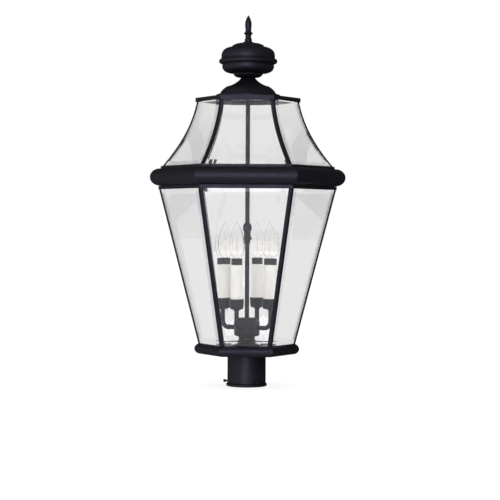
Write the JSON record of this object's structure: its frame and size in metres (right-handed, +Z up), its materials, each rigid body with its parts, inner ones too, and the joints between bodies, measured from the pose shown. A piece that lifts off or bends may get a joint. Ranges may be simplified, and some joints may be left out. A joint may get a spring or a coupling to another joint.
{
  "type": "post lantern",
  "caption": "Hexagonal post-top lantern: flared cage of bevelled glass, candle cluster on a centre rod, lift-off roof with a rounded belt, ball and spear finial.",
  "frame": {"origin": "centre of the post fitter's bottom rim", "axes": "+Z up along the centre rod; corners of the hexagon on +X and -X; a flat face to the front (-Y)"},
  "size_m": [0.4208, 0.3644, 0.796],
  "materials": {
    "black_powder_coat": "fine textured satin black",
    "clear_glass": "clear, bevelled all round",
    "bulb_glass": "clear",
    "candle_resin": "satin warm white",
    "socket_phenolic": "satin black"
  },
  "bodies": {
    "root": {"post_fitter": "black_powder_coat", "bottom_pan": "black_powder_coat", "cage_rib_1": "black_powder_coat", "cage_rib_2": "black_powder_coat", "cage_rib_3": "black_powder_coat", "cage_rib_4": "black_powder_coat", "cage_rib_5": "black_powder_coat", "cage_rib_6": "black_powder_coat", "cage_top_rail": "black_powder_coat", "cage_glass_1": "clear_glass", "cage_glass_2": "clear_glass", "cage_glass_3": "clear_glass", "cage_glass_4": "clear_glass", "cage_glass_5": "clear_glass", "cage_glass_6": "clear_glass", "cluster_base": "black_powder_coat", "cluster_body": "black_powder_coat", "arm_1": "black_powder_coat", "arm_2": "black_powder_coat", "arm_3": "black_powder_coat", "arm_4": "black_powder_coat", "candle_cup_1": "black_powder_coat", "candle_cup_2": "black_powder_coat", "candle_cup_3": "black_powder_coat", "candle_cup_4": "black_powder_coat", "candle_sleeve_1": "candle_resin", "candle_sleeve_2": "candle_resin", "candle_sleeve_3": "candle_resin", "candle_sleeve_4": "candle_resin", "socket_1": "socket_phenolic", "socket_2": "socket_phenolic", "socket_3": "socket_phenolic", "socket_4": "socket_phenolic", "tie_rod": "black_powder_coat", "rod_coupling": "black_powder_coat"},
    "roof": {"belt_moulding": "black_powder_coat", "roof_rib_1": "black_powder_coat", "roof_rib_2": "black_powder_coat", "roof_rib_3": "black_powder_coat", "roof_rib_4": "black_powder_coat", "roof_rib_5": "black_powder_coat", "roof_rib_6": "black_powder_coat", "roof_glass_1": "clear_glass", "roof_glass_2": "clear_glass", "roof_glass_3": "clear_glass", "roof_glass_4": "clear_glass", "roof_glass_5": "clear_glass", "roof_glass_6": "clear_glass", "top_plate": "black_powder_coat", "dome": "black_powder_coat", "ball_lower": "black_powder_coat", "ball_upper": "black_powder_coat"},
    "finial": {"finial": "black_powder_coat"},
    "bulb_1": {"bulb_1": "bulb_glass"},
    "bulb_2": {"bulb_2": "bulb_glass"},
    "bulb_3": {"bulb_3": "bulb_glass"},
    "bulb_4": {"bulb_4": "bulb_glass"},
    "set_screw_1": {"set_screw_1": "black_powder_coat"},
    "set_screw_2": {"set_screw_2": "black_powder_coat"},
    "set_screw_3": {"set_screw_3": "black_powder_coat"}
  },
  "joints": [
    {"name": "roof_lift", "type": "slide", "parent": "root", "child": "roof", "axis": [0, 0, 1], "range_m": [0, 0.33]},
    {"name": "finial_turn", "type": "hinge", "parent": "roof", "child": "finial", "pos_m": [0, 0, 0.75], "axis": [0, 0, 1], "range_deg": [0, 2160]},
    {"name": "bulb_1_pull", "type": "slide", "parent": "root", "child": "bulb_1", "axis": [0, 0, 1], "range_m": [0, 0.25]},
    {"name": "bulb_2_pull", "type": "slide", "parent": "root", "child": "bulb_2", "axis": [0, 0, 1], "range_m": [0, 0.25]},
    {"name": "bulb_3_pull", "type": "slide", "parent": "root", "child": "bulb_3", "axis": [0, 0, 1], "range_m": [0, 0.25]},
    {"name": "bulb_4_pull", "type": "slide", "parent": "root", "child": "bulb_4", "axis": [0, 0, 1], "range_m": [0, 0.25]},
    {"name": "set_screw_1_travel", "type": "slide", "parent": "root", "child": "set_screw_1", "axis": [1, 0, 0], "range_m": [-0.008, 0.0025]},
    {"name": "set_screw_2_travel", "type": "slide", "parent": "root", "child": "set_screw_2", "axis": [-0.5, 0.866, 0], "range_m": [-0.008, 0.0025]},
    {"name": "set_screw_3_travel", "type": "slide", "parent": "root", "child": "set_screw_3", "axis": [-0.5, -0.866, 0], "range_m": [-0.008, 0.0025]}
  ]
}
